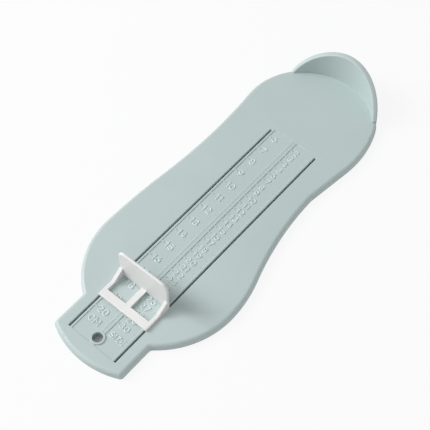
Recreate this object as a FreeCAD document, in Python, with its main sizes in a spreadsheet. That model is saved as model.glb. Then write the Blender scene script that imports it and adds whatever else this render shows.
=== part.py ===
import FreeCAD, Part

import math
import os

import Sketcher

# Foot measuring device for small children: a foot-shaped board with a heel wall and two
# raised scales, and a toe slider that is pushed along two slots until it meets the toes.
#
# Millimetres. The board is drawn in its scale's own frame: X across the board, Y along it
# with +Y towards the heel, Z = 0 on the table. Y = 0 is the scale's zero, so the mark for
# 12 cm lies at Y = -120. "Medial" is the side of the big toe (+X), "lateral" the side of
# the small toe (-X).

SIZES = [
    # the board's moulding
    ("board_height", 4.5, "from the table to the deck"),
    ("wall", 2.0, "thickness of the deck and of the skirt under its edge"),
    ("edge_rounding", 2.2, "rounding of the deck's outer edge"),
    # the heel end of the outline
    ("heel_across", -3.4, "centre of the heel's round, across the board"),
    ("heel_radius", 39.2, "radius of the heel's round"),
    ("heel_blend_radius", 14.4, "from the heel's round into the medial side"),
    ("side_radius", 64.8, "medial side of the heel"),
    ("side_reach", 33.9, "medial side of the heel, from the middle line"),
    ("side_along", 41.4, "place of that reach, from the scale's zero"),
    # the waist
    ("nook_radius", 12.0, "small hollow where the medial arch starts"),
    ("nook_reach", 29.7, "small hollow, from the middle line"),
    ("nook_along", 78.0, "small hollow, from the scale's zero"),
    ("arch_radius", 185.0, "hollow of the medial arch"),
    ("waist_radius", 343.0, "hollow of the lateral waist"),
    # the ball of the foot and the toes
    ("ball_along", 159.5, "widest place, from the scale's zero"),
    ("medial_ball_radius", 77.6, "medial ball"),
    ("medial_ball_reach", 43.0, "medial ball, from the middle line"),
    ("lateral_ball_radius", 384.0, "lateral ball"),
    ("lateral_ball_reach", 44.75, "lateral ball, from the middle line"),
    ("shoulder_along", 199.5, "where the toe end meets the tongue"),
    ("shoulder_rounding", 1.0, "rounding in that corner"),
    # the tongue
    ("tongue_width", 46.2, "width of the tongue"),
    ("tongue_end", 225.9, "tip of the tongue, from the scale's zero"),
    ("tongue_end_radius", 50.4, "round of the tongue's end"),
    ("tongue_corner", 2.3, "rounding of the tongue's corners"),
    # the heel wall
    ("heel_wall_foot", 2.7, "thickness of the heel wall at the deck"),
    ("heel_wall_rim", 3.4, "thickness of the heel wall at its rim"),
    ("heel_wall_lean", 5.6, "degrees that the wall's outer face leans outwards"),
    ("heel_wall_reach", 50.5, "degrees from the back of the heel to each end"),
    ("zero_set_back", 0.7, "scale's zero behind the rim's inner edge"),
    ("rim_height", 19.3, "rim over the deck, at the back of the heel"),
    ("rim_end_height", 0.7, "rim over the deck, at the ends of the wall"),
    ("rim_swell", 7.0, "how far the sloping rim bulges upwards near its ends"),
    ("rim_outer_rounding", 0.8, "rounding of the rim's outer edge"),
    ("rim_inner_rounding", 0.8, "rounding of the rim's inner edge"),
    # the slots that the slider runs in
    ("slot_spacing", 31.0, "between the middles of the two slots"),
    ("slot_width", 1.1, "width of a slot"),
    ("slot_rounding", 0.4, "rounding of a slot's upper edges"),
    ("slot_heel_end", 55.6, "round end, from the scale's zero"),
    ("slot_end_margin", 9.0, "from the tongue's tip to the square ends"),
    # the sunken scale between the slots
    ("panel_depth", 0.4, "depth of the two sunken panels"),
    ("panel_rim", 1.3, "between a slot and its panel"),
    ("panel_rounding", 0.3, "rounding of the panels' upper edges"),
    ("panel_margin", 1.0, "panels beyond the slots' round ends"),
    ("divider_width", 3.2, "strip between the panels"),
    ("groove_width", 0.8, "fine groove in the strip"),
    ("groove_depth", 0.1, "depth of the groove"),
    ("scale_first", 60.0, "first mark of both scales"),
    ("scale_last", 200.0, "last mark of both scales"),
    ("length_pitch", 10.0, "between the marks of the length scale"),
    ("shoe_pitch", 5.0, "between the marks of the shoe size scale"),
    ("mark_width", 0.7, "width of a mark, a half-round ridge"),
    ("border_mark", 1.7, "length of the marks along the panels' outer borders"),
    ("divider_mark", 1.3, "length of the marks along the divider"),
    # the hanging hole in the tongue
    ("hole_diameter", 5.7, "hanging hole"),
    ("hole_margin", 13.2, "from the tongue's tip to the middle of the hole"),
    ("collar_wall", 1.1, "wall of the collar round the hole"),
    ("collar_rise", 0.2, "collar over the deck"),
    ("collar_rounding", 0.15, "rounding of the collar's outer edge"),
    # the toe slider
    ("slider_reading", 177.0, "reading of the slider at rest"),
    ("slider_overlap", 0.25, "frame beyond the outer sides of the slots"),
    ("frame_thickness", 1.8, "thickness of its frame"),
    ("stop_thickness", 1.5, "thickness of the upright toe stop"),
    ("stop_height", 21.7, "toe stop over the deck"),
    ("stop_corner", 4.0, "rounding of the toe stop's upper corners"),
    ("window_length", 11.9, "length of the two reading windows"),
    ("front_bar", 4.6, "bar in front of the windows"),
    ("middle_bar", 3.2, "bar between the windows"),
    ("side_bar", 2.1, "bars beside the windows"),
    ("gusset_height", 5.1, "gussets over the frame, at the toe stop"),
    ("gusset_length", 6.8, "gussets along the frame"),
    ("underside_relief", 0.4, "frame over the deck, above the panels"),
    ("slider_rounding", 0.5, "rounding of the slider's outer edges"),
    # the snap legs under the slider
    ("leg_clearance", 0.15, "between a leg and each side of its slot"),
    ("leg_length", 5.0, "length of a leg along the slot"),
    ("leg_inset", 1.0, "from the frame's ends to the legs"),
    ("hook_reach", 0.8, "how far a hook reaches under the deck"),
    ("hook_clearance", 0.15, "between a hook and the deck's underside"),
    ("hook_height", 1.1, "height of a hook"),
    ("hook_face", 0.4, "height of a hook's upright outer face"),
    ("hook_lead", 0.6, "width of the slope at a hook's foot"),
]

doc = FreeCAD.newDocument("foot_measuring_device")
sizes = doc.addObject("Spreadsheet::Sheet", "sizes")
for row, (alias, value, meaning) in enumerate(SIZES, start=1):
    sizes.set(f"A{row}", alias)
    sizes.set(f"B{row}", str(value))
    sizes.set(f"C{row}", meaning)
    sizes.setAlias(f"B{row}", alias)
doc.recompute()

Vector = FreeCAD.Vector
UP = Vector(0, 0, 1)

# Places that several features share, as expressions of the sheet. The centre of the heel's
# round lies where the rim's inner edge, which a heel touches, is right for the scale.
RIM_LEAN = "(sizes.rim_height * tan(sizes.heel_wall_lean))"
INNER_RIM_RADIUS = f"(sizes.heel_radius + {RIM_LEAN} - sizes.heel_wall_rim)"
HEEL_ALONG = f"(-sizes.zero_set_back - {INNER_RIM_RADIUS})"
SLOT_ACROSS = "(sizes.slot_spacing / 2)"
PANEL_OUTER = "(sizes.slot_spacing / 2 - sizes.slot_width / 2 - sizes.panel_rim)"
PANEL_INNER = "(sizes.divider_width / 2)"
PANEL_HEEL_END = "(sizes.panel_margin - sizes.slot_heel_end)"
SLOT_TONGUE_END = "(sizes.slot_end_margin - sizes.tongue_end)"
HOLE_ALONG = "(sizes.hole_margin - sizes.tongue_end)"
PANEL_FLOOR = "(sizes.board_height - sizes.panel_depth)"
SLIDER_LENGTH = "(sizes.stop_thickness + sizes.window_length + sizes.front_bar)"
SLIDER_EDGE = "(sizes.slot_spacing / 2 + sizes.slot_width / 2 + sizes.slider_overlap)"
LEG_OUTER = "(sizes.slot_spacing / 2 + sizes.slot_width / 2 - sizes.leg_clearance)"
WINDOW_OUTER = f"({SLIDER_EDGE} - sizes.side_bar)"


def value_of(expression):
    """The present value of an expression of the sheet."""
    return float(sizes.evalExpression(expression))


def size(alias):
    return value_of(f"sizes.{alias}")


# --- plane geometry ------------------------------------------------------------------


def meeting_point(first, first_radius, second, second_radius, left):
    """Where two circles meet, left or right of the way from the first to the second."""
    way = second - first
    distance = way.Length
    way = way / distance
    along = (first_radius**2 - second_radius**2 + distance**2) / (2 * distance)
    beside = math.sqrt(first_radius**2 - along**2)
    across = Vector(-way.y, way.x, 0)
    return first + way * along + across * (beside if left else -beside)


def point_facing(centre, radius, other):
    """The point of a circle that lies towards another point."""
    way = other - centre
    return centre + way * (radius / way.Length)


def crossing_line(first, first_radius, second, second_radius):
    """Ends of the line that touches the first circle's left and the second's right."""
    way = second - first
    turn = math.acos((first_radius + second_radius) / way.Length)
    angle = math.atan2(way.y, way.x) + turn
    normal = Vector(math.cos(angle), math.sin(angle), 0)
    return first + normal * first_radius, second - normal * second_radius


# --- bodies and sketches -------------------------------------------------------------


def new_sketch(body, name, plane, offset=None):
    """A sketch on one of the body's own origin planes, moved along the plane's normal."""
    sketch = body.newObject("Sketcher::SketchObject", name)
    features = body.Origin.OriginFeatures
    support = next(feature for feature in features if feature.Role == plane)
    sketch.AttachmentSupport = [(support, "")]
    sketch.MapMode = "FlatFace"
    if offset is not None:
        sketch.setExpression("AttachmentOffset.Base.z", offset)
    return sketch


def bind(sketch, expression, kind, *where):
    """A constraint whose value follows an expression of the sheet."""
    constraint = Sketcher.Constraint(kind, *where, value_of(expression))
    index = sketch.addConstraint(constraint)
    sketch.setExpression(f"Constraints[{index}]", expression)


def bind_point(sketch, geometry, point, corner):
    across, along = corner
    bind(sketch, across, "DistanceX", geometry, point)
    bind(sketch, along, "DistanceY", geometry, point)


def bind_centre(sketch, geometry, place):
    """Binds the centre of an arc or a circle."""
    bind_point(sketch, geometry, 3, place)


def bind_centre_along(sketch, geometry, along):
    bind(sketch, along, "DistanceY", geometry, 3)


def centre_on_middle_line(sketch, geometry):
    sketch.addConstraint(Sketcher.Constraint("PointOnObject", geometry, 3, -2))


def add_arc(sketch, centre, radius, first, last, hollow=False):
    """An arc of an anticlockwise outline, with the numbers of its first and last point."""
    circle = Part.Circle(centre, UP, radius)
    start, end = (last, first) if hollow else (first, last)
    arc = Part.ArcOfCircle(circle, circle.parameter(start), circle.parameter(end))
    index = sketch.addGeometry(arc)
    return (index, 2, 1) if hollow else (index, 1, 2)


def add_line(sketch, first, last):
    return sketch.addGeometry(Part.LineSegment(first, last)), 1, 2


def join(sketch, before, after, smooth):
    kind = "Tangent" if smooth else "Coincident"
    joint = Sketcher.Constraint(kind, before[0], before[2], after[0], after[1])
    sketch.addConstraint(joint)


def add_polygon(sketch, corners):
    """A closed polygon, whose corners are pairs of expressions."""
    points = [Vector(value_of(across), value_of(along), 0) for across, along in corners]
    points.append(points[0])
    lines = [add_line(sketch, *ends) for ends in zip(points, points[1:])]
    for before, after in zip(lines, lines[1:] + lines[:1]):
        join(sketch, before, after, smooth=False)
    for line, corner in zip(lines, corners):
        bind_point(sketch, line[0], 1, corner)


def add_rectangle(sketch, left, right, low, high):
    add_polygon(sketch, [(left, low), (right, low), (right, high), (left, high)])


def add_circle(sketch, diameter, along):
    """A circle on the middle line, at a distance along it."""
    centre = Vector(0, value_of(along), 0)
    index = sketch.addGeometry(Part.Circle(centre, UP, value_of(diameter) / 2))
    centre_on_middle_line(sketch, index)
    bind_centre_along(sketch, index, along)
    bind(sketch, diameter, "Diameter", index)


def pad(body, name, sketch, length):
    feature = body.newObject("PartDesign::Pad", name)
    feature.Profile = sketch
    feature.setExpression("Length", length)
    doc.recompute()
    return feature


def pocket(body, name, sketch, depth=None, reverse=False):
    """A pocket of a depth, or through all; it has to take material away."""
    before = body.Shape.Volume
    feature = body.newObject("PartDesign::Pocket", name)
    feature.Profile = sketch
    feature.Reversed = reverse
    if depth is None:
        feature.Type = "ThroughAll"
    else:
        feature.setExpression("Length", depth)
    doc.recompute()
    if not body.Shape.Volume < before:
        raise RuntimeError(f"{name} takes nothing away")
    return feature


def edge_names(feature, wanted):
    """The names of the edges whose ends and middle, as a list of points, pass a test."""
    names = []
    for number, edge in enumerate(feature.Shape.Edges, start=1):
        middle = edge.valueAt((edge.FirstParameter + edge.LastParameter) / 2)
        if wanted([vertex.Point for vertex in edge.Vertexes] + [middle]):
            names.append(f"Edge{number}")
    return names


def fillet(body, name, feature, wanted, radius):
    rounding = body.newObject("PartDesign::Fillet", name)
    rounding.Base = (feature, edge_names(feature, wanted))
    rounding.setExpression("Radius", radius)
    doc.recompute()
    return rounding


def near(value, target):
    tolerance = 0.001
    return abs(value - target) < tolerance


def above(value, limit):
    return value > limit and not near(value, limit)


# --- foot_board: the foot-shaped outline ----------------------------------------------


def tongue_corner_along():
    """Where the round of the tongue's end meets the tongue's straight sides."""
    radius = size("tongue_end_radius")
    half_tongue = size("tongue_width") / 2
    return radius - size("tongue_end") - math.sqrt(radius**2 - half_tongue**2)


def draw_outline(sketch):
    """Fourteen tangent arcs and lines, anticlockwise, with the tongue's corners sharp."""
    heel = Vector(size("heel_across"), value_of(HEEL_ALONG), 0)
    heel_radius = size("heel_radius")
    blend_radius = size("heel_blend_radius")
    waist_radius = size("waist_radius")
    arch_radius = size("arch_radius")
    nook_radius = size("nook_radius")
    side_radius = size("side_radius")
    ball_along = -size("ball_along")
    half_tongue = size("tongue_width") / 2
    shoulder_along = -size("shoulder_along")

    # lateral side: the heel's round, the long waist, the ball and the toe round
    lateral_radius = size("lateral_ball_radius")
    lateral_edge = Vector(-size("lateral_ball_reach"), ball_along, 0)
    lateral_ball = lateral_edge + Vector(lateral_radius, 0, 0)
    waist = meeting_point(
        heel, heel_radius + waist_radius, lateral_ball, lateral_radius + waist_radius, False
    )
    heel_to_waist = point_facing(heel, heel_radius, waist)
    waist_to_ball = point_facing(lateral_ball, lateral_radius, waist)

    # medial side: the ball, the arch, the small nook, the heel's side and its blend
    medial_radius = size("medial_ball_radius")
    medial_edge = Vector(size("medial_ball_reach"), ball_along, 0)
    medial_ball = medial_edge - Vector(medial_radius, 0, 0)
    nook = Vector(size("nook_reach") + nook_radius, -size("nook_along"), 0)
    side = Vector(size("side_reach") - side_radius, -size("side_along"), 0)
    arch = meeting_point(
        nook, arch_radius - nook_radius, medial_ball, medial_radius + arch_radius, True
    )
    blend = meeting_point(
        heel, heel_radius - blend_radius, side, side_radius - blend_radius, False
    )
    ball_to_arch = point_facing(medial_ball, medial_radius, arch)
    arch_to_nook = point_facing(arch, arch_radius, nook)
    line_to_side, nook_to_line = crossing_line(side, side_radius, nook, nook_radius)
    side_to_blend = point_facing(side, side_radius, blend)
    blend_to_heel = point_facing(heel, heel_radius, blend)

    # the two toe rounds start straight at the ball and end in the tongue's shoulders
    def toe_radius(edge):
        inwards = abs(edge.x) - half_tongue
        forwards = ball_along - shoulder_along
        return (inwards**2 + forwards**2) / (2 * inwards)

    lateral_toe = toe_radius(lateral_edge)
    medial_toe = toe_radius(medial_edge)
    lateral_shoulder = Vector(-half_tongue, shoulder_along, 0)
    medial_shoulder = Vector(half_tongue, shoulder_along, 0)

    # the tongue's end
    end_radius = size("tongue_end_radius")
    end_centre = Vector(0, end_radius - size("tongue_end"), 0)
    lateral_corner = Vector(-half_tongue, tongue_corner_along(), 0)
    medial_corner = Vector(half_tongue, tongue_corner_along(), 0)

    heel_arc = add_arc(sketch, heel, heel_radius, blend_to_heel, heel_to_waist)
    waist_arc = add_arc(sketch, waist, waist_radius, heel_to_waist, waist_to_ball, True)
    lateral_arc = add_arc(sketch, lateral_ball, lateral_radius, waist_to_ball, lateral_edge)
    lateral_toe_arc = add_arc(
        sketch,
        lateral_edge + Vector(lateral_toe, 0, 0),
        lateral_toe,
        lateral_edge,
        lateral_shoulder,
    )
    lateral_line = add_line(sketch, lateral_shoulder, lateral_corner)
    end_arc = add_arc(sketch, end_centre, end_radius, lateral_corner, medial_corner)
    medial_line = add_line(sketch, medial_corner, medial_shoulder)
    medial_toe_arc = add_arc(
        sketch,
        medial_edge - Vector(medial_toe, 0, 0),
        medial_toe,
        medial_shoulder,
        medial_edge,
    )
    medial_arc = add_arc(sketch, medial_ball, medial_radius, medial_edge, ball_to_arch)
    arch_arc = add_arc(sketch, arch, arch_radius, ball_to_arch, arch_to_nook, True)
    nook_arc = add_arc(sketch, nook, nook_radius, arch_to_nook, nook_to_line, True)
    side_line = add_line(sketch, nook_to_line, line_to_side)
    side_arc = add_arc(sketch, side, side_radius, line_to_side, side_to_blend)
    blend_arc = add_arc(sketch, blend, blend_radius, side_to_blend, blend_to_heel)

    join(sketch, blend_arc, heel_arc, smooth=True)
    join(sketch, heel_arc, waist_arc, smooth=True)
    join(sketch, waist_arc, lateral_arc, smooth=True)
    join(sketch, lateral_arc, lateral_toe_arc, smooth=True)
    join(sketch, lateral_toe_arc, lateral_line, smooth=False)
    join(sketch, lateral_line, end_arc, smooth=False)
    join(sketch, end_arc, medial_line, smooth=False)
    join(sketch, medial_line, medial_toe_arc, smooth=False)
    join(sketch, medial_toe_arc, medial_arc, smooth=True)
    join(sketch, medial_arc, arch_arc, smooth=True)
    join(sketch, arch_arc, nook_arc, smooth=True)
    join(sketch, nook_arc, side_line, smooth=True)
    join(sketch, side_line, side_arc, smooth=True)
    join(sketch, side_arc, blend_arc, smooth=True)

    heel_place = ("sizes.heel_across", HEEL_ALONG)
    bind_centre(sketch, heel_arc[0], heel_place)
    bind(sketch, "sizes.heel_radius", "Radius", heel_arc[0])
    bind(sketch, "sizes.waist_radius", "Radius", waist_arc[0])
    lateral_ball_place = ("-sizes.lateral_ball_reach", "-sizes.ball_along")
    bind_point(sketch, lateral_arc[0], lateral_arc[2], lateral_ball_place)
    bind_centre_along(sketch, lateral_arc[0], "-sizes.ball_along")
    bind(sketch, "sizes.lateral_ball_radius", "Radius", lateral_arc[0])
    lateral_shoulder_place = ("-sizes.tongue_width / 2", "-sizes.shoulder_along")
    bind_point(sketch, lateral_line[0], lateral_line[1], lateral_shoulder_place)
    sketch.addConstraint(Sketcher.Constraint("Vertical", lateral_line[0]))
    centre_on_middle_line(sketch, end_arc[0])
    bind_centre_along(sketch, end_arc[0], "sizes.tongue_end_radius - sizes.tongue_end")
    bind(sketch, "sizes.tongue_end_radius", "Radius", end_arc[0])
    medial_shoulder_place = ("sizes.tongue_width / 2", "-sizes.shoulder_along")
    bind_point(sketch, medial_line[0], medial_line[2], medial_shoulder_place)
    sketch.addConstraint(Sketcher.Constraint("Vertical", medial_line[0]))
    medial_ball_place = ("sizes.medial_ball_reach", "-sizes.ball_along")
    bind_point(sketch, medial_arc[0], medial_arc[1], medial_ball_place)
    bind_centre_along(sketch, medial_arc[0], "-sizes.ball_along")
    bind(sketch, "sizes.medial_ball_radius", "Radius", medial_arc[0])
    bind(sketch, "sizes.arch_radius", "Radius", arch_arc[0])
    nook_place = ("sizes.nook_reach + sizes.nook_radius", "-sizes.nook_along")
    bind_centre(sketch, nook_arc[0], nook_place)
    bind(sketch, "sizes.nook_radius", "Radius", nook_arc[0])
    side_place = ("sizes.side_reach - sizes.side_radius", "-sizes.side_along")
    bind_centre(sketch, side_arc[0], side_place)
    bind(sketch, "sizes.side_radius", "Radius", side_arc[0])
    bind(sketch, "sizes.heel_blend_radius", "Radius", blend_arc[0])


# --- foot_board: the moulding ----------------------------------------------------------

board = doc.addObject("PartDesign::Body", "board")

outline = new_sketch(board, "outline", "XY_Plane")
draw_outline(outline)
blank = pad(board, "blank", outline, "sizes.board_height")

# the underside is hollow: only the deck and a skirt of the same thickness stay
underside = next(
    f"Face{number}"
    for number, face in enumerate(blank.Shape.Faces, start=1)
    if near(face.BoundBox.ZMax, 0)
)
shell = board.newObject("PartDesign::Thickness", "shell")
shell.Base = (blank, [underside])
shell.setExpression("Value", "sizes.wall")
shell.Reversed = True
shell.Join = "Intersection"
doc.recompute()
if not shell.Shape.Volume < blank.Shape.Volume:
    raise RuntimeError("the shell takes nothing away")


def at_tongue(along):
    """Tests for the upright edges of the tongue at one place along the board."""
    half_tongue = size("tongue_width") / 2
    return lambda points: all(
        near(abs(point.x), half_tongue) and near(point.y, along) for point in points
    )


at_shoulder = at_tongue(-size("shoulder_along"))
shoulders = fillet(board, "shoulders", shell, at_shoulder, "sizes.shoulder_rounding")
at_corner = at_tongue(tongue_corner_along())
corners = fillet(board, "corners", shoulders, at_corner, "sizes.tongue_corner")
deck_edge = fillet(
    board,
    "deck_edge",
    corners,
    lambda points: all(near(point.z, size("board_height")) for point in points),
    "sizes.edge_rounding",
)

# one slot with a round end at the heel and a square end at the tongue, and its mirror image
slot_sketch = new_sketch(board, "slot_outline", "XY_Plane", "sizes.board_height")
slot_radius = size("slot_width") / 2
slot_middle = Vector(value_of(SLOT_ACROSS), -size("slot_heel_end") - slot_radius, 0)
slot_right = slot_middle + Vector(slot_radius, 0, 0)
slot_left = slot_middle - Vector(slot_radius, 0, 0)
slot_drop = Vector(0, value_of(SLOT_TONGUE_END) - slot_middle.y, 0)
round_end = add_arc(slot_sketch, slot_middle, slot_radius, slot_right, slot_left)
left_side = add_line(slot_sketch, slot_left, slot_left + slot_drop)
square_end = add_line(slot_sketch, slot_left + slot_drop, slot_right + slot_drop)
right_side = add_line(slot_sketch, slot_right + slot_drop, slot_right)
join(slot_sketch, round_end, left_side, smooth=True)
join(slot_sketch, left_side, square_end, smooth=False)
join(slot_sketch, square_end, right_side, smooth=False)
join(slot_sketch, right_side, round_end, smooth=True)
slot_sketch.addConstraint(Sketcher.Constraint("Horizontal", square_end[0]))
slot_sketch.addConstraint(Sketcher.Constraint("Vertical", left_side[0]))
slot_centre = (SLOT_ACROSS, "-sizes.slot_heel_end - sizes.slot_width / 2")
bind_centre(slot_sketch, round_end[0], slot_centre)
bind(slot_sketch, "sizes.slot_width / 2", "Radius", round_end[0])
bind(slot_sketch, SLOT_TONGUE_END, "DistanceY", square_end[0], 1)
slot = pocket(board, "slot", slot_sketch)
slots = board.newObject("PartDesign::Mirrored", "slots")
slots.Originals = [slot]
slots.MirrorPlane = (slot_sketch, ["V_Axis"])
board.Tip = slots
doc.recompute()


def mouth_of_slot(points):
    """The edges of both slots that lie in the deck."""
    half = size("slot_width") / 2
    middle = value_of(SLOT_ACROSS)
    return all(
        near(point.z, size("board_height")) and not above(abs(abs(point.x) - middle), half)
        for point in points
    )


slot_mouths = fillet(board, "slot_mouths", slots, mouth_of_slot, "sizes.slot_rounding")

# the sunken panels of the two scales, with the divider left standing between them
panel_sketch = new_sketch(board, "panel_outlines", "XY_Plane", "sizes.board_height")
panel_ends = (SLOT_TONGUE_END, PANEL_HEEL_END)
add_rectangle(panel_sketch, f"-{PANEL_OUTER}", f"-{PANEL_INNER}", *panel_ends)
add_rectangle(panel_sketch, PANEL_INNER, PANEL_OUTER, *panel_ends)
panels = pocket(board, "panels", panel_sketch, "sizes.panel_depth")


def brink_of_panel(points):
    """The edges of both panels that lie in the deck."""
    inner = value_of(PANEL_INNER)
    outer = value_of(PANEL_OUTER)
    return all(
        near(point.z, size("board_height"))
        and not above(inner, abs(point.x))
        and not above(abs(point.x), outer)
        for point in points
    )


panel_brinks = fillet(board, "panel_brinks", panels, brink_of_panel, "sizes.panel_rounding")

groove_sketch = new_sketch(board, "groove_outline", "XY_Plane", "sizes.board_height")
half_groove = "(sizes.groove_width / 2)"
add_rectangle(groove_sketch, f"-{half_groove}", half_groove, HOLE_ALONG, PANEL_HEEL_END)
groove = pocket(board, "groove", groove_sketch, "sizes.groove_depth")


def add_ridge(name, across, length):
    """A half-round ridge on the panels' floor at the scale's first mark, padded across."""
    sketch = new_sketch(board, f"{name}_outline", "YZ_Plane", across)
    radius = size("mark_width") / 2
    centre = Vector(-size("scale_first"), value_of(PANEL_FLOOR), 0)
    reach = Vector(radius, 0, 0)
    crest = add_arc(sketch, centre, radius, centre + reach, centre - reach)
    base = add_line(sketch, centre - reach, centre + reach)
    join(sketch, crest, base, smooth=False)
    join(sketch, base, crest, smooth=False)
    sketch.addConstraint(Sketcher.Constraint("Horizontal", base[0]))
    sketch.addConstraint(Sketcher.Constraint("PointOnObject", crest[0], 3, base[0]))
    bind_centre(sketch, crest[0], ("-sizes.scale_first", PANEL_FLOOR))
    bind(sketch, "sizes.mark_width / 2", "Radius", crest[0])
    return pad(board, name, sketch, length)


def scale_marks(name, side, pitch):
    """A ridge along each long side of a panel, with its end in the deck, and its repeats."""
    border_length = "sizes.border_mark + sizes.panel_rounding"
    divider_length = "sizes.divider_mark + sizes.panel_rounding"
    if side > 0:
        border_start = f"{PANEL_OUTER} - sizes.border_mark"
        divider_start = f"{PANEL_INNER} - sizes.panel_rounding"
    else:
        border_start = f"-{PANEL_OUTER} - sizes.panel_rounding"
        divider_start = f"-{PANEL_INNER} - sizes.divider_mark"
    border = add_ridge(f"{name}_border", border_start, border_length)
    divider = add_ridge(f"{name}_divider", divider_start, divider_length)
    marks = board.newObject("PartDesign::LinearPattern", name)
    marks.Originals = [border, divider]
    marks.Direction = (divider.Profile[0], ["H_Axis"])
    marks.Reversed = True
    marks.Mode = "Spacing"
    marks.setExpression("Offset", pitch)
    span = "(sizes.scale_last - sizes.scale_first)"
    marks.setExpression("Occurrences", f"floor({span} / {pitch}) + 1")
    board.Tip = marks
    doc.recompute()
    return marks


length_marks = scale_marks("length_marks", -1, "sizes.length_pitch")
shoe_marks = scale_marks("shoe_marks", 1, "sizes.shoe_pitch")

# the hanging hole, in a collar that stands on the panels' floor and just over the deck
collar_sketch = new_sketch(board, "collar_outline", "XY_Plane", PANEL_FLOOR)
collar_diameter = "sizes.hole_diameter + 2 * sizes.collar_wall"
add_circle(collar_sketch, collar_diameter, HOLE_ALONG)
collar = pad(board, "collar", collar_sketch, "sizes.panel_depth + sizes.collar_rise")
collar_top = "sizes.board_height + sizes.collar_rise"


def on_collar_top(points):
    return all(near(point.z, value_of(collar_top)) for point in points)


collar_edge = fillet(board, "collar_edge", collar, on_collar_top, "sizes.collar_rounding")
hole_sketch = new_sketch(board, "hole_outline", "XY_Plane", collar_top)
add_circle(hole_sketch, "sizes.hole_diameter", HOLE_ALONG)
hole = pocket(board, "hole", hole_sketch)


# --- foot_board: the heel wall ----------------------------------------------------------


def rim_height_at(turn):
    """The rim's height over the deck, at an angle from the back of the heel."""
    end = math.cos(math.radians(size("heel_wall_reach")))
    share = (math.cos(math.radians(turn)) - end) / (1 - end)
    slope = (size("rim_height") - size("rim_end_height")) * share
    swell = size("rim_swell") * share * (1 - share) ** 2
    return size("rim_end_height") + slope + swell


def rim_curve(radius, reach):
    """A curve at the rim's height, on an upright cylinder about the heel's centre."""
    steps = 24
    points = []
    for step in range(steps + 1):
        turn = reach * (2 * step / steps - 1)
        angle = math.radians(90 + turn)
        height = size("board_height") + rim_height_at(turn)
        points.append(Vector(radius * math.cos(angle), radius * math.sin(angle), height))
    curve = Part.BSplineCurve()
    curve.interpolate(points)
    return curve.toShape()


def rim_edges(wall):
    """The long edges along the rim, the shortest one first."""
    lowest = size("board_height") + size("rim_end_height")
    shortest = size("heel_radius")
    edges = [
        edge
        for edge in wall.Edges
        if edge.CenterOfMass.z > lowest and edge.Length > shortest
    ]
    return sorted(edges, key=lambda edge: edge.Length)


def heel_wall_shape():
    """A leaning wall whose foot lies in the deck and in the skirt under its edge."""
    deck = size("board_height")
    reach = size("heel_wall_reach")
    inner_foot = deck - size("wall") / 2
    outer_foot = deck - size("edge_rounding")
    over_rim = 5.0
    top = deck + size("rim_height") + over_rim

    def outer(height):
        return size("heel_radius") + (height - deck) * value_of("tan(sizes.heel_wall_lean)")

    def inner(height):
        share = (height - deck) / size("rim_height")
        growth = (size("heel_wall_rim") - size("heel_wall_foot")) * share
        return outer(height) - size("heel_wall_foot") - growth

    section = Part.makePolygon(
        [
            Vector(inner(inner_foot), 0, inner_foot),
            Vector(size("heel_radius") - size("wall") / 2, 0, outer_foot),
            Vector(outer(outer_foot), 0, outer_foot),
            Vector(outer(top), 0, top),
            Vector(inner(top), 0, top),
            Vector(inner(inner_foot), 0, inner_foot),
        ]
    )
    face = Part.Face(section)
    face.rotate(Vector(), UP, 90 - reach)
    wall = face.revolve(Vector(), UP, 2 * reach)

    # everything over the rim is cut away; the rim is level across the wall's thickness
    past_wall = 2.0
    past_ends = 2.0
    inner_curve = rim_curve(inner(inner_foot) - past_wall, reach + past_ends)
    outer_curve = rim_curve(outer(top) + past_wall, reach + past_ends)
    over_wall = Part.makeRuledSurface(inner_curve, outer_curve).extrude(UP * top)
    wall = wall.cut(over_wall)

    outer_edge_of_rim = rim_edges(wall)[-1]
    wall = wall.makeFillet(size("rim_outer_rounding"), [outer_edge_of_rim])
    inner_edge_of_rim = rim_edges(wall)[0]
    wall = wall.makeFillet(size("rim_inner_rounding"), [inner_edge_of_rim])
    wall.translate(Vector(size("heel_across"), value_of(HEEL_ALONG), 0))
    return wall


heel_wall = doc.addObject("Part::Feature", "heel_wall")
heel_wall.Shape = heel_wall_shape()

foot_board = doc.addObject("Part::Fuse", "foot_board")
foot_board.Base = board
foot_board.Tool = heel_wall
doc.recompute()


# --- toe_slider ---------------------------------------------------------------------------
# Drawn with the toe stop's heel-side face at Y = 0 and the deck at Z = 0. It is one
# moulding: frame, upright stop, two gussets and four snap legs.

slider = doc.addObject("PartDesign::Body", "toe_slider")

frame_sketch = new_sketch(slider, "frame_outline", "XY_Plane")
add_rectangle(frame_sketch, f"-{SLIDER_EDGE}", SLIDER_EDGE, f"-{SLIDER_LENGTH}", "0")
frame = pad(slider, "frame", frame_sketch, "sizes.frame_thickness")

# the XZ plane's normal points to the toes, so the stop is padded towards them
stop_sketch = new_sketch(slider, "stop_outline", "XZ_Plane")
add_rectangle(stop_sketch, f"-{SLIDER_EDGE}", SLIDER_EDGE, "0", "sizes.stop_height")
stop = pad(slider, "stop", stop_sketch, "sizes.stop_thickness")

window_sketch = new_sketch(slider, "window_outlines", "XY_Plane", "sizes.frame_thickness")
window_ends = ("-sizes.stop_thickness - sizes.window_length", "-sizes.stop_thickness")
half_middle = "(sizes.middle_bar / 2)"
add_rectangle(window_sketch, f"-{WINDOW_OUTER}", f"-{half_middle}", *window_ends)
add_rectangle(window_sketch, half_middle, WINDOW_OUTER, *window_ends)
windows = pocket(slider, "windows", window_sketch)

relief_sketch = new_sketch(slider, "relief_outline", "XY_Plane")
add_rectangle(relief_sketch, f"-{PANEL_OUTER}", PANEL_OUTER, f"-{SLIDER_LENGTH}", "0")
relief = pocket(slider, "relief", relief_sketch, "sizes.underside_relief", reverse=True)

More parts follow.
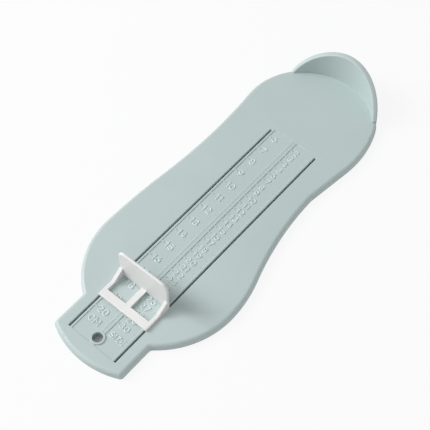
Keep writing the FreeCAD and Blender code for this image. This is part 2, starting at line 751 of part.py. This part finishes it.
# a gusset over each side bar, drawn on the medial one and mirrored
gusset_sketch = new_sketch(slider, "gusset_outline", "YZ_Plane", WINDOW_OUTER)
add_polygon(
    gusset_sketch,
    [
        ("-sizes.stop_thickness", "sizes.frame_thickness"),
        ("-sizes.stop_thickness", "sizes.frame_thickness + sizes.gusset_height"),
        ("-sizes.stop_thickness - sizes.gusset_length", "sizes.frame_thickness"),
    ],
)
gusset = pad(slider, "gusset", gusset_sketch, "sizes.side_bar")
gussets = slider.newObject("PartDesign::Mirrored", "gussets")
gussets.Originals = [gusset]
gussets.MirrorPlane = (stop_sketch, ["V_Axis"])
slider.Tip = gussets
doc.recompute()

# snap legs: each goes through a slot, and its hook reaches outwards under the deck
leg_sketch = new_sketch(slider, "leg_outlines", "XZ_Plane", "sizes.leg_inset")
leg_inner = f"{SLOT_ACROSS} - sizes.slot_width / 2 + sizes.leg_clearance"
hook_tip = f"{LEG_OUTER} + sizes.hook_reach"
hook_top = "-sizes.wall - sizes.hook_clearance"
hook_foot = f"{hook_top} - sizes.hook_height"
leg_corners = [
    (leg_inner, "sizes.underside_relief"),
    (leg_inner, hook_foot),
    (f"{hook_tip} - sizes.hook_lead", hook_foot),
    (hook_tip, f"{hook_top} - sizes.hook_face"),
    (hook_tip, hook_top),
    (LEG_OUTER, hook_top),
    (LEG_OUTER, "sizes.underside_relief"),
]
add_polygon(leg_sketch, leg_corners)
add_polygon(leg_sketch, [(f"-({across})", height) for across, height in leg_corners])
first_legs = pad(slider, "first_legs", leg_sketch, "sizes.leg_length")
legs = slider.newObject("PartDesign::LinearPattern", "legs")
legs.Originals = [first_legs]
legs.Direction = (leg_sketch, ["N_Axis"])
legs.Mode = "Spacing"
legs.setExpression("Offset", f"{SLIDER_LENGTH} - 2 * sizes.leg_inset - sizes.leg_length")
legs.Occurrences = 2
slider.Tip = legs
doc.recompute()


def upper_corner(points):
    side = value_of(SLIDER_EDGE)
    top = size("stop_height")
    return all(near(abs(point.x), side) and near(point.z, top) for point in points)


def outer_edge(points):
    """The slider's outer edges, apart from those that lie on the deck."""
    side = value_of(SLIDER_EDGE)
    middle = points[-1]
    gusset_top = size("frame_thickness") + size("gusset_height")
    level = all(near(point.z, middle.z) for point in points)
    on_side = all(near(abs(point.x), side) for point in points)
    on_heel_face = all(near(point.y, 0) for point in points)
    on_toe_face = all(near(point.y, -size("stop_thickness")) for point in points)
    on_front = all(near(point.y, -value_of(SLIDER_LENGTH)) for point in points)
    if not above(middle.z, size("underside_relief")):
        return False
    if on_side:
        return not (level and above(middle.z, gusset_top))
    return on_heel_face or on_front or (on_toe_face and above(middle.z, gusset_top))


stop_corners = fillet(slider, "stop_corners", legs, upper_corner, "sizes.stop_corner")
rounding = fillet(slider, "rounding", stop_corners, outer_edge, "sizes.slider_rounding")

# --- the assembly -----------------------------------------------------------------------
# The finished part's origin lies on the table, under the middle of the board's box.

RIM_REACH = (
    f"(sizes.heel_radius + {RIM_LEAN} + sizes.rim_outer_rounding"
    " * (1 - tan(sizes.heel_wall_lean) - 1 / cos(sizes.heel_wall_lean)))"
)
ACROSS = "(sizes.lateral_ball_reach - sizes.medial_ball_reach) / 2"
ALONG = f"(sizes.tongue_end - {HEEL_ALONG} - {RIM_REACH}) / 2"

foot_board.setExpression("Placement.Base.x", ACROSS)
foot_board.setExpression("Placement.Base.y", ALONG)
slider.setExpression("Placement.Base.x", ACROSS)
slider.setExpression("Placement.Base.y", f"{ALONG} - sizes.slider_reading")
slider.setExpression("Placement.Base.z", "sizes.board_height")
doc.recompute()

for item in doc.Objects:
    if "Invalid" in item.State or "Error" in item.State:
        raise RuntimeError(f"{item.Label} has failed: {item.State}")

os.makedirs("parts", exist_ok=True)
for piece in (foot_board, slider):
    shape = piece.Shape
    if shape.isNull() or not shape.isValid() or len(shape.Solids) != 1:
        raise RuntimeError(f"{piece.Label} is not one valid solid")
    shape.exportStep(f"parts/{piece.Label}.step")
    box = shape.optimalBoundingBox(False, False)
    corners = (*box.getPoint(4), *box.getPoint(2))
    box_text = ", ".join(f"{value:.2f}" for value in corners)
    print(f"{piece.Label}: volume {shape.Volume:.0f} mm3, box {box_text}")
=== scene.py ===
# %% [markdown]
# # A foot measuring device for small children
#
# The device has two mouldings: a foot-shaped board with a heel wall and two raised scales,
# and a white toe slider that runs in two slots. Their solids come from the CAD model, with
# every edge in its real place. What is left for Blender is what CAD leaves plain: the
# plastics, the raised figures of the scales, the light and the camera.

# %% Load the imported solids
import math

import bpy
from mathutils import Euler, Matrix, Vector


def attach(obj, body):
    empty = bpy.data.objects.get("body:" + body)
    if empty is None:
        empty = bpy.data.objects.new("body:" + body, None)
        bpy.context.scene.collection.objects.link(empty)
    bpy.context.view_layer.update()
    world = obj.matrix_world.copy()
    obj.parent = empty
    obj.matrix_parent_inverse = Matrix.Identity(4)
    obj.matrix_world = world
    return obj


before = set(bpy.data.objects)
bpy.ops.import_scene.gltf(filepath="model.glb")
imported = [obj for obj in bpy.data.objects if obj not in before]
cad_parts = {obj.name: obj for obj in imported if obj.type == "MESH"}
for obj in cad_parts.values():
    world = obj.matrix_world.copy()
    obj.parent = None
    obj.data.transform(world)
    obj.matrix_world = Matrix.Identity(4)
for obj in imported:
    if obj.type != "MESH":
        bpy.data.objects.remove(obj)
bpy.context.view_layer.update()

print("solids:", sorted(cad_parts))

# %% [markdown]
# ## Measures
#
# Blender works in metres, so one millimetre gets a name. The board's scale starts at the
# point of the heel wall that a heel touches, and a reading of 10 cm lies 100 mm in front of
# it. A small helper turns a place on the scale into a place in the row's frame.

# %% Name the measures of the board
MM = 0.001

# the point that a reading of 0 cm would have, on the deck
SCALE_ZERO = Vector((0.875, 111.641, 4.5)) * MM
PANEL_DEPTH = 0.4 * MM


def on_panel(across, along):
    """A place on the sunken panels' floor, in millimetres from the scale's zero."""
    return SCALE_ZERO + Vector((across, along, 0)) * MM - Vector((0, 0, PANEL_DEPTH))


print("scale zero, mm:", [round(value / MM, 3) for value in SCALE_ZERO])

# %% [markdown]
# ## What moulded plastic looks like up close
#
# A mould for such a part is spark eroded, which leaves a fine matte grain on every face.
# The melt cools unevenly as well, so the colour and the gloss drift a little over the part.
# Both effects belong to both plastics, so they are one node group, and each material gives
# it its own sizes. The group puts out masks only: the shader stays in the material.

# %% Build the group for the moulded surface
SCUFF_TURN = math.radians(8)
SCUFF_STRETCH = 0.06
SCUFF_CRESTS = (0.6, 0.72)


def add_node(tree, kind, **settings):
    node = tree.nodes.new(kind)
    for name, value in settings.items():
        setattr(node, name, value)
    return node


def moulded_surface_group():
    tree = bpy.data.node_groups.new("moulded_surface", "ShaderNodeTree")
    sockets = tree.interface
    sockets.new_socket("Vector", in_out="INPUT", socket_type="NodeSocketVector")
    for name in ("Grain Scale", "Drift Scale", "Scuff Scale"):
        sockets.new_socket(name, in_out="INPUT", socket_type="NodeSocketFloat")
    for name in ("Grain", "Drift", "Scuffs"):
        sockets.new_socket(name, in_out="OUTPUT", socket_type="NodeSocketFloat")
    given = add_node(tree, "NodeGroupInput")
    made = add_node(tree, "NodeGroupOutput")

    grain = add_node(tree, "ShaderNodeTexNoise")
    grain.inputs["Detail"].default_value = 3
    grain.inputs["Roughness"].default_value = 0.6
    tree.links.new(given.outputs["Vector"], grain.inputs["Vector"])
    tree.links.new(given.outputs["Grain Scale"], grain.inputs["Scale"])
    tree.links.new(grain.outputs["Fac"], made.inputs["Grain"])

    drift = add_node(tree, "ShaderNodeTexNoise")
    drift.inputs["Detail"].default_value = 2
    drift.inputs["Distortion"].default_value = 0.6
    tree.links.new(given.outputs["Vector"], drift.inputs["Vector"])
    tree.links.new(given.outputs["Drift Scale"], drift.inputs["Scale"])
    tree.links.new(drift.outputs["Fac"], made.inputs["Drift"])

    # scuffs are short scratches: stretched noise of which only the crests are kept
    stretch = add_node(tree, "ShaderNodeMapping")
    stretch.inputs["Rotation"].default_value = (0, 0, SCUFF_TURN)
    stretch.inputs["Scale"].default_value = (1, SCUFF_STRETCH, 1)
    lines = add_node(tree, "ShaderNodeTexNoise")
    lines.inputs["Detail"].default_value = 4
    crests = add_node(tree, "ShaderNodeMapRange")
    crests.inputs["From Min"].default_value = SCUFF_CRESTS[0]
    crests.inputs["From Max"].default_value = SCUFF_CRESTS[1]
    tree.links.new(given.outputs["Vector"], stretch.inputs["Vector"])
    tree.links.new(stretch.outputs["Vector"], lines.inputs["Vector"])
    tree.links.new(given.outputs["Scuff Scale"], lines.inputs["Scale"])
    tree.links.new(lines.outputs["Fac"], crests.inputs["Value"])
    tree.links.new(crests.outputs["Result"], made.inputs["Scuffs"])
    return tree


moulded_surface = moulded_surface_group()
print("group:", moulded_surface.name, len(moulded_surface.nodes), "nodes")

# %% [markdown]
# ## The two plastics
#
# The board is a pale sage green and the slider a neutral white. The drift moves the base
# colour between two close tones and the roughness a few hundredths. The grain goes through
# a Bump node, at most two hundredths of a millimetre deep. The raised figures get the same
# green, but paler and smoother: the paler tone is a painted highlight, so that the figures read
# bright against the panels. That makes them a plastic of their own.

# %% Mix the plastics
SCUFF_POLISH = 0.08


def plastic(name, tones, roughness, grain_depth, scales):
    material = bpy.data.materials.new(name)
    material.use_nodes = True
    tree = material.node_tree
    shader = tree.nodes["Principled BSDF"]

    place = add_node(tree, "ShaderNodeTexCoord")
    surface = add_node(tree, "ShaderNodeGroup", node_tree=moulded_surface)
    for socket, scale in scales.items():
        surface.inputs[socket].default_value = scale
    tree.links.new(place.outputs["Object"], surface.inputs["Vector"])

    colour = add_node(tree, "ShaderNodeMix", data_type="RGBA")
    colour.inputs["A"].default_value = (*tones[0], 1)
    colour.inputs["B"].default_value = (*tones[1], 1)
    tree.links.new(surface.outputs["Drift"], colour.inputs["Factor"])
    tree.links.new(colour.outputs["Result"], shader.inputs["Base Color"])

    gloss = add_node(tree, "ShaderNodeMapRange")
    gloss.inputs["To Min"].default_value = roughness[0]
    gloss.inputs["To Max"].default_value = roughness[1]
    tree.links.new(surface.outputs["Drift"], gloss.inputs["Value"])
    polish = add_node(tree, "ShaderNodeMath", operation="MULTIPLY_ADD")
    polish.inputs[1].default_value = -SCUFF_POLISH
    tree.links.new(surface.outputs["Scuffs"], polish.inputs[0])
    tree.links.new(gloss.outputs["Result"], polish.inputs[2])
    tree.links.new(polish.outputs["Value"], shader.inputs["Roughness"])

    bump = add_node(tree, "ShaderNodeBump")
    bump.inputs["Distance"].default_value = grain_depth
    tree.links.new(surface.outputs["Grain"], bump.inputs["Height"])
    tree.links.new(bump.outputs["Normal"], shader.inputs["Normal"])
    return material


board_plastic = plastic(
    "sage_board_plastic",
    tones=((0.455, 0.545, 0.535), (0.525, 0.615, 0.605)),
    roughness=(0.42, 0.52),
    grain_depth=0.02 * MM,
    scales={"Grain Scale": 3200, "Drift Scale": 14, "Scuff Scale": 900},
)
slider_plastic = plastic(
    "white_slider_plastic",
    tones=((0.785, 0.78, 0.765), (0.81, 0.805, 0.79)),
    roughness=(0.38, 0.46),
    grain_depth=0.012 * MM,
    scales={"Grain Scale": 4200, "Drift Scale": 30, "Scuff Scale": 1200},
)
# the figures' paler tones are a painted highlight, so the strokes read bright on the panels
highlit_figure_plastic = plastic(
    "figure_plastic_painted_highlight",
    tones=((0.64, 0.73, 0.72), (0.67, 0.76, 0.75)),
    roughness=(0.3, 0.38),
    grain_depth=0.008 * MM,
    scales={"Grain Scale": 3200, "Drift Scale": 14, "Scuff Scale": 900},
)
for node, material in (("foot_board", board_plastic), ("toe_slider", slider_plastic)):
    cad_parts[node].material_slots[0].material = material
    print(node, "gets", material.name)

# %% [markdown]
# ## The figures of the scales
#
# The figures stand 0.45 mm over the sunken panels. A mould maker cuts them with one round
# cutter that follows a path, so every stroke has the same width and a round end. Text in a
# font would have flat faces and corners. So each figure is drawn here as cutter paths, in a
# cell that is 1 high, and Geometry Nodes sweep a low round section along all of them.

# %% Draw the cutter paths
ARC_STEP = math.radians(24)


def arc(across, along, reach, rise, first, last):
    """Points of an elliptic arc about a centre, from one angle in degrees to another."""
    first, last = math.radians(first), math.radians(last)
    steps = max(2, math.ceil(abs(last - first) / ARC_STEP))
    turns = [first + (last - first) * step / steps for step in range(steps + 1)]
    return [(across + reach * math.cos(t), along + rise * math.sin(t)) for t in turns]


THREE = [arc(0.34, 0.745, 0.31, 0.255, 150, -90), arc(0.34, 0.245, 0.36, 0.245, 90, -150)]
FIVE = [
    [(0.64, 1), (0.1, 1)],
    [(0.1, 1), (0.04, 0.54)],
    arc(0.34, 0.32, 0.38, 0.32, 140, -145),
]
SIX = [arc(0.36, 0.31, 0.36, 0.31, 0, 360), [(0.0, 0.33), (0.08, 0.64), (0.52, 1.0)]]
EIGHT = [arc(0.36, 0.75, 0.3, 0.25, 0, 360), arc(0.36, 0.25, 0.36, 0.25, 0, 360)]
# a nine is a six turned by half a turn
NINE = [[(0.72 - x, 1 - y) for x, y in path] for path in SIX]
EM = [[(0, 0), (0, 1)], [(0, 1), (0.45, 0.3)], [(0.45, 0.3), (0.9, 1)], [(0.9, 1), (0.9, 0)]]
EE = [[(0, 0), (0, 1)], [(0, 1), (0.55, 1)], [(0, 0.5), (0.48, 0.5)], [(0, 0), (0.55, 0)]]

# each entry is the width of the figure and its paths
CUTTER_PATHS = {
    "0": (0.72, [arc(0.36, 0.5, 0.36, 0.5, 0, 360)]),
    "1": (0.3, [[(0.3, 0), (0.3, 1)], [(0.3, 1), (0.0, 0.74)]]),
    "2": (0.72, [arc(0.36, 0.68, 0.34, 0.32, 165, -38) + [(0, 0)], [(0, 0), (0.72, 0)]]),
    "3": (0.7, THREE),
    "4": (0.74, [[(0.54, 0), (0.54, 1)], [(0.54, 1), (0, 0.28)], [(0, 0.28), (0.74, 0.28)]]),
    "5": (0.72, FIVE),
    "6": (0.72, SIX),
    "7": (0.7, [[(0, 1), (0.7, 1)], [(0.7, 1), (0.24, 0)]]),
    "8": (0.72, EIGHT),
    "9": (0.72, NINE),
    "C": (0.74, [arc(0.42, 0.5, 0.42, 0.5, 50, 310)]),
    "M": (0.9, EM),
    "S": (0.6, [arc(0.3, 0.75, 0.28, 0.25, 35, 270) + arc(0.3, 0.25, 0.3, 0.25, 90, -145)[1:]]),
    "I": (0.0, [[(0, 0), (0, 1)]]),
    "Z": (0.6, [[(0, 1), (0.6, 1)], [(0.6, 1), (0, 0)], [(0, 0), (0.6, 0)]]),
    "E": (0.55, EE),
}
print("figures and letters:", " ".join(CUTTER_PATHS))

# %% Lay the paths out along the scales
# the gap between two letters, in parts of their height
LETTER_GAP = 0.4


def add_word(curve, word, across, along, height):
    """Cutter paths of a word, centred on a place of the panels, in millimetres."""
    widths = [CUTTER_PATHS[letter][0] for letter in word]
    total = sum(widths) + LETTER_GAP * (len(word) - 1)
    pen = -total / 2
    for letter, width in zip(word, widths):
        for path in CUTTER_PATHS[letter][1]:
            spline = curve.splines.new("POLY")
            spline.points.add(len(path) - 1)
            for point, (x, y) in zip(spline.points, path):
                place = on_panel(across + (pen + x) * height, along + (y - 0.5) * height)
                point.co = (*place, 1)
        pen += width + LETTER_GAP


def new_paths(name):
    curve = bpy.data.curves.new(name, "CURVE")
    curve.dimensions = "3D"
    paths = bpy.data.objects.new(name, curve)
    bpy.context.scene.collection.objects.link(paths)
    return paths


# readings, in centimetres and in shoe sizes
LENGTH_FIGURES = range(6, 21)
SHOE_FIGURES = range(2, 31)

# pitches and heights of the figures, in millimetres
LENGTH_PITCH = 10
LENGTH_HEIGHT = 3.3
SHOE_PITCH = 5
SHOE_HEIGHT = 2.9
SHOE_SIZE_ZERO = -50
CM_HEIGHT = 3.2

# a figure of one digit stands in another place across its panel than one of two
LENGTH_PLACES = {1: -9.5, 2: -8.3}
SHOE_PLACES = {1: 5.5, 2: 6.6}

length_figures = new_paths("length_figures")
for reading in LENGTH_FIGURES:
    word = str(reading)
    across = LENGTH_PLACES[len(word)]
    add_word(length_figures.data, word, across, -LENGTH_PITCH * reading, LENGTH_HEIGHT)

shoe_figures = new_paths("shoe_figures")
for reading in SHOE_FIGURES:
    word = str(reading)
    along = SHOE_SIZE_ZERO - SHOE_PITCH * reading
    add_word(shoe_figures.data, word, SHOE_PLACES[len(word)], along, SHOE_HEIGHT)

scale_labels = new_paths("scale_labels")
add_word(scale_labels.data, "CM", -8.0, -206.5, CM_HEIGHT)
add_word(scale_labels.data, "SIZE", 7.9, -206.7, SHOE_HEIGHT)
for paths in (length_figures, shoe_figures, scale_labels):
    print(paths.name, len(paths.data.splines), "strokes")

# %% [markdown]
# ## Sweeping the section
#
# The section is an ellipse that lies half under the panel's floor, so each stroke joins the
# board without a gap. Its normals point up, so it never twists. A small ball at both ends of
# a stroke makes the round end, and it also fills the corners where two strokes meet.

# %% Build the sweep in Geometry Nodes
SECTION_SIDES = 10
BALL_SEGMENTS = 8
BALL_RINGS = 5


def raised_strokes_tree():
    tree = bpy.data.node_groups.new("raised_strokes", "GeometryNodeTree")
    sockets = tree.interface
    sockets.new_socket("Paths", in_out="INPUT", socket_type="NodeSocketGeometry")
    sockets.new_socket("Stroke Width", in_out="INPUT", socket_type="NodeSocketFloat")
    sockets.new_socket("Stroke Height", in_out="INPUT", socket_type="NodeSocketFloat")
    sockets.new_socket("Plastic", in_out="INPUT", socket_type="NodeSocketMaterial")
    sockets.new_socket("Strokes", in_out="OUTPUT", socket_type="NodeSocketGeometry")
    given = add_node(tree, "NodeGroupInput")
    made = add_node(tree, "NodeGroupOutput")

    upright = add_node(tree, "GeometryNodeSetCurveNormal", mode="Z_UP")
    tree.links.new(given.outputs["Paths"], upright.inputs["Curve"])

    # twice the height, because the lower half of the section is inside the board
    double = add_node(tree, "ShaderNodeMath", operation="MULTIPLY")
    double.inputs[1].default_value = 2
    tree.links.new(given.outputs["Stroke Height"], double.inputs[0])

    section = add_node(tree, "GeometryNodeCurvePrimitiveCircle")
    section.inputs["Resolution"].default_value = SECTION_SIDES
    section.inputs["Radius"].default_value = 0.5
    section_size = add_node(tree, "ShaderNodeCombineXYZ")
    tree.links.new(given.outputs["Stroke Width"], section_size.inputs["X"])
    tree.links.new(double.outputs["Value"], section_size.inputs["Y"])
    flatten = add_node(tree, "GeometryNodeTransform")
    tree.links.new(section.outputs["Curve"], flatten.inputs["Geometry"])
    tree.links.new(section_size.outputs["Vector"], flatten.inputs["Scale"])

    sweep = add_node(tree, "GeometryNodeCurveToMesh")
    sweep.inputs["Fill Caps"].default_value = True
    tree.links.new(upright.outputs["Curve"], sweep.inputs["Curve"])
    tree.links.new(flatten.outputs["Geometry"], sweep.inputs["Profile Curve"])

    ball = add_node(tree, "GeometryNodeMeshUVSphere")
    ball.inputs["Segments"].default_value = BALL_SEGMENTS
    ball.inputs["Rings"].default_value = BALL_RINGS
    ball.inputs["Radius"].default_value = 0.5
    ball_size = add_node(tree, "ShaderNodeCombineXYZ")
    tree.links.new(given.outputs["Stroke Width"], ball_size.inputs["X"])
    tree.links.new(given.outputs["Stroke Width"], ball_size.inputs["Y"])
    tree.links.new(double.outputs["Value"], ball_size.inputs["Z"])
    ends = add_node(tree, "GeometryNodeCurveEndpointSelection")
    balls = add_node(tree, "GeometryNodeInstanceOnPoints")
    tree.links.new(upright.outputs["Curve"], balls.inputs["Points"])
    tree.links.new(ends.outputs["Selection"], balls.inputs["Selection"])
    tree.links.new(ball.outputs["Mesh"], balls.inputs["Instance"])
    tree.links.new(ball_size.outputs["Vector"], balls.inputs["Scale"])

    together = add_node(tree, "GeometryNodeJoinGeometry")
    tree.links.new(sweep.outputs["Mesh"], together.inputs["Geometry"])
    tree.links.new(balls.outputs["Instances"], together.inputs["Geometry"])
    smooth = add_node(tree, "GeometryNodeSetShadeSmooth")
    tree.links.new(together.outputs["Geometry"], smooth.inputs["Geometry"])
    realize = add_node(tree, "GeometryNodeRealizeInstances")
    tree.links.new(smooth.outputs["Geometry"], realize.inputs["Geometry"])
    coat = add_node(tree, "GeometryNodeSetMaterial")
    tree.links.new(realize.outputs["Geometry"], coat.inputs["Geometry"])
    tree.links.new(given.outputs["Plastic"], coat.inputs["Material"])
    tree.links.new(coat.outputs["Geometry"], made.inputs["Strokes"])
    return tree


raised_strokes = raised_strokes_tree()


def socket_id(tree, name):
    """The identifier of an input, which a modifier's values go by."""
    return next(
        item.identifier
        for item in tree.interface.items_tree
        if item.name == name and item.in_out == "INPUT"
    )


def made_into_mesh(source, tree, values):
    """Runs the tree on an object and returns its result as an object with a plain mesh."""
    modifier = source.modifiers.new(tree.name, "NODES")
    modifier.node_group = tree
    for name, value in values.items():
        modifier[socket_id(tree, name)] = value
    evaluated = source.evaluated_get(bpy.context.evaluated_depsgraph_get())
    mesh = bpy.data.meshes.new_from_object(evaluated)
    name = source.name
    bpy.data.objects.remove(source)
    mesh.name = name
    piece = bpy.data.objects.new(name, mesh)
    bpy.context.scene.collection.objects.link(piece)
    return piece


STROKE_HEIGHT = 0.45 * MM

for paths, stroke_width in (
    (length_figures, 0.76 * MM),
    (shoe_figures, 0.64 * MM),
    (scale_labels, 0.66 * MM),
):
    values = {
        "Stroke Width": stroke_width,
        "Stroke Height": STROKE_HEIGHT,
        "Plastic": highlit_figure_plastic,
    }
    piece = made_into_mesh(paths, raised_strokes, values)
    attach(piece, "board")
    print(piece.name, len(piece.data.polygons), "faces")

# %% [markdown]
# ## Floor and surroundings
#
# A measuring board is looked at on a pale table, and a board that floats in plain white looks
# cut out. The floor answers the camera with white, mixed with a share of its own pale lit
# surface, so it keeps the device's faint shadow. Ambient occlusion takes the white away where
# the board covers the floor: under the skirt's edge, in the slots and in the hanging hole. The
# world is white to the camera and to reflections, and lights the device with a pale grey.

# %% Lay the floor and light the world
FLOOR_SIDE = 4.0
FLOOR_TONE = (0.75, 0.76, 0.76)
FLOOR_SHADE = 0.12
AMBIENT_TONE = (0.97, 0.985, 1.0)
AMBIENT_LEVEL = 0.345

# what counts as covered floor, and as open floor, to rays of this reach
COVER_REACH = 20 * MM
COVERED = 0.32
OPEN = 0.5

half = FLOOR_SIDE / 2
floor_mesh = bpy.data.meshes.new("floor")
floor_mesh.from_pydata(
    [(-half, -half, 0), (half, -half, 0), (half, half, 0), (-half, half, 0)], [], [(0, 1, 2, 3)]
)
floor = bpy.data.objects.new("floor", floor_mesh)
bpy.context.scene.collection.objects.link(floor)


def seen_directly(tree):
    """A mask that is 1 for rays that show the background: from the camera, gloss or glass."""
    path = add_node(tree, "ShaderNodeLightPath")
    first = add_node(tree, "ShaderNodeMath", operation="MAXIMUM")
    both = add_node(tree, "ShaderNodeMath", operation="MAXIMUM")
    tree.links.new(path.outputs["Is Camera Ray"], first.inputs[0])
    tree.links.new(path.outputs["Is Glossy Ray"], first.inputs[1])
    tree.links.new(first.outputs["Value"], both.inputs[0])
    tree.links.new(path.outputs["Is Transmission Ray"], both.inputs[1])
    return both.outputs["Value"]


floor_paint = bpy.data.materials.new("pale_floor")
floor_paint.use_nodes = True
tree = floor_paint.node_tree
lit = tree.nodes["Principled BSDF"]
lit.inputs["Base Color"].default_value = (*FLOOR_TONE, 1)
lit.inputs["Roughness"].default_value = 0.9
white = add_node(tree, "ShaderNodeEmission")
white.inputs["Strength"].default_value = 1.0
cover = add_node(tree, "ShaderNodeAmbientOcclusion", samples=16)
cover.inputs["Distance"].default_value = COVER_REACH
open_floor = add_node(tree, "ShaderNodeMapRange")
open_floor.inputs["From Min"].default_value = COVERED
open_floor.inputs["From Max"].default_value = OPEN
open_floor.inputs["To Max"].default_value = 1 - FLOOR_SHADE
tree.links.new(cover.outputs["AO"], open_floor.inputs["Value"])
share = add_node(tree, "ShaderNodeMath", operation="MULTIPLY")
tree.links.new(seen_directly(tree), share.inputs[0])
tree.links.new(open_floor.outputs["Result"], share.inputs[1])
mixed = add_node(tree, "ShaderNodeMixShader")
tree.links.new(share.outputs["Value"], mixed.inputs["Fac"])
tree.links.new(lit.outputs["BSDF"], mixed.inputs[1])
tree.links.new(white.outputs["Emission"], mixed.inputs[2])
tree.links.new(mixed.outputs["Shader"], tree.nodes["Material Output"].inputs["Surface"])
floor_mesh.materials.append(floor_paint)

world = bpy.data.worlds.new("studio")
bpy.context.scene.world = world
world.use_nodes = True
tree = world.node_tree
ambient = tree.nodes["Background"]
ambient.inputs["Color"].default_value = (*AMBIENT_TONE, 1)
ambient.inputs["Strength"].default_value = AMBIENT_LEVEL
backdrop = add_node(tree, "ShaderNodeBackground")
backdrop.inputs["Color"].default_value = (1, 1, 1, 1)
backdrop.inputs["Strength"].default_value = 1.0
mixed = add_node(tree, "ShaderNodeMixShader")
tree.links.new(seen_directly(tree), mixed.inputs["Fac"])
tree.links.new(ambient.outputs["Background"], mixed.inputs[1])
tree.links.new(backdrop.outputs["Background"], mixed.inputs[2])
tree.links.new(mixed.outputs["Shader"], tree.nodes["World Output"].inputs["Surface"])
print("floor side, m:", FLOOR_SIDE, "shade kept:", FLOOR_SHADE)

# %% [markdown]
# ## Lamps
#
# The raised marks and figures only show when light comes from one side. So the key lamp stands
# low on the lateral side, and gives each stroke a bright and a dark flank. It also makes the
# toe stop throw a soft shadow over the medial side of the board. A second lamp above the key
# makes that shadow shorter and softer. Two wide and weak lamps fill: one in front for the toe
# stop's face, and one on the medial side for the near edges. All of them stand about 1.4 m
# away, so the light is even from the heel to the tongue.

# %% Set the lamps
# a place and a side in metres and a power in watts; all lamps aim at the board's middle
LAMPS = {
    "key_lamp": ((-1.065, -0.495, 0.762), 0.55, 12.8),
    "high_key_lamp": ((-0.696, -0.57, 1.072), 0.5, 4.2),
    "front_lamp": ((0.297, -0.849, 1.072), 0.9, 1.6),
    "fill_lamp": ((1.057, 0.593, 0.7), 1.2, 2.6),
}

for name, (place, side, power) in LAMPS.items():
    data = bpy.data.lights.new(name, "AREA")
    data.size = side
    data.energy = power
    lamp = bpy.data.objects.new(name, data)
    lamp.location = place
    lamp.rotation_euler = (-Vector(place)).to_track_quat("-Z", "Y").to_euler()
    bpy.context.scene.collection.objects.link(lamp)
    print(name, "power, W:", power)

# %% [markdown]
# ## Camera
#
# The camera looks down at the toe end from the medial side. Its place, turn and focal length
# were worked out from the scale's marks, which are 10 mm apart.

# %% Place the camera
CAMERA_PLACE = Vector((0.194332, -0.237005, 0.466176))
CAMERA_AZIMUTH = 40.5984
CAMERA_ELEVATION = 56.8900
CAMERA_ROLL = -0.28455
SENSOR_WIDTH = 36
LENS = 86.63

camera_data = bpy.data.cameras.new("camera")
camera_data.sensor_width = SENSOR_WIDTH
camera_data.lens = LENS
camera_data.clip_start = 0.01
camera_data.clip_end = 20
camera = bpy.data.objects.new("camera", camera_data)
tilt = math.radians(90 - CAMERA_ELEVATION)
turn = Euler((tilt, 0, math.radians(CAMERA_AZIMUTH))).to_matrix()
roll = Matrix.Rotation(math.radians(CAMERA_ROLL), 3, "Z")
camera.matrix_world = Matrix.Translation(CAMERA_PLACE) @ (turn @ roll).to_4x4()
bpy.context.scene.collection.objects.link(camera)
bpy.context.scene.camera = camera
bpy.context.scene.view_settings.view_transform = "Standard"
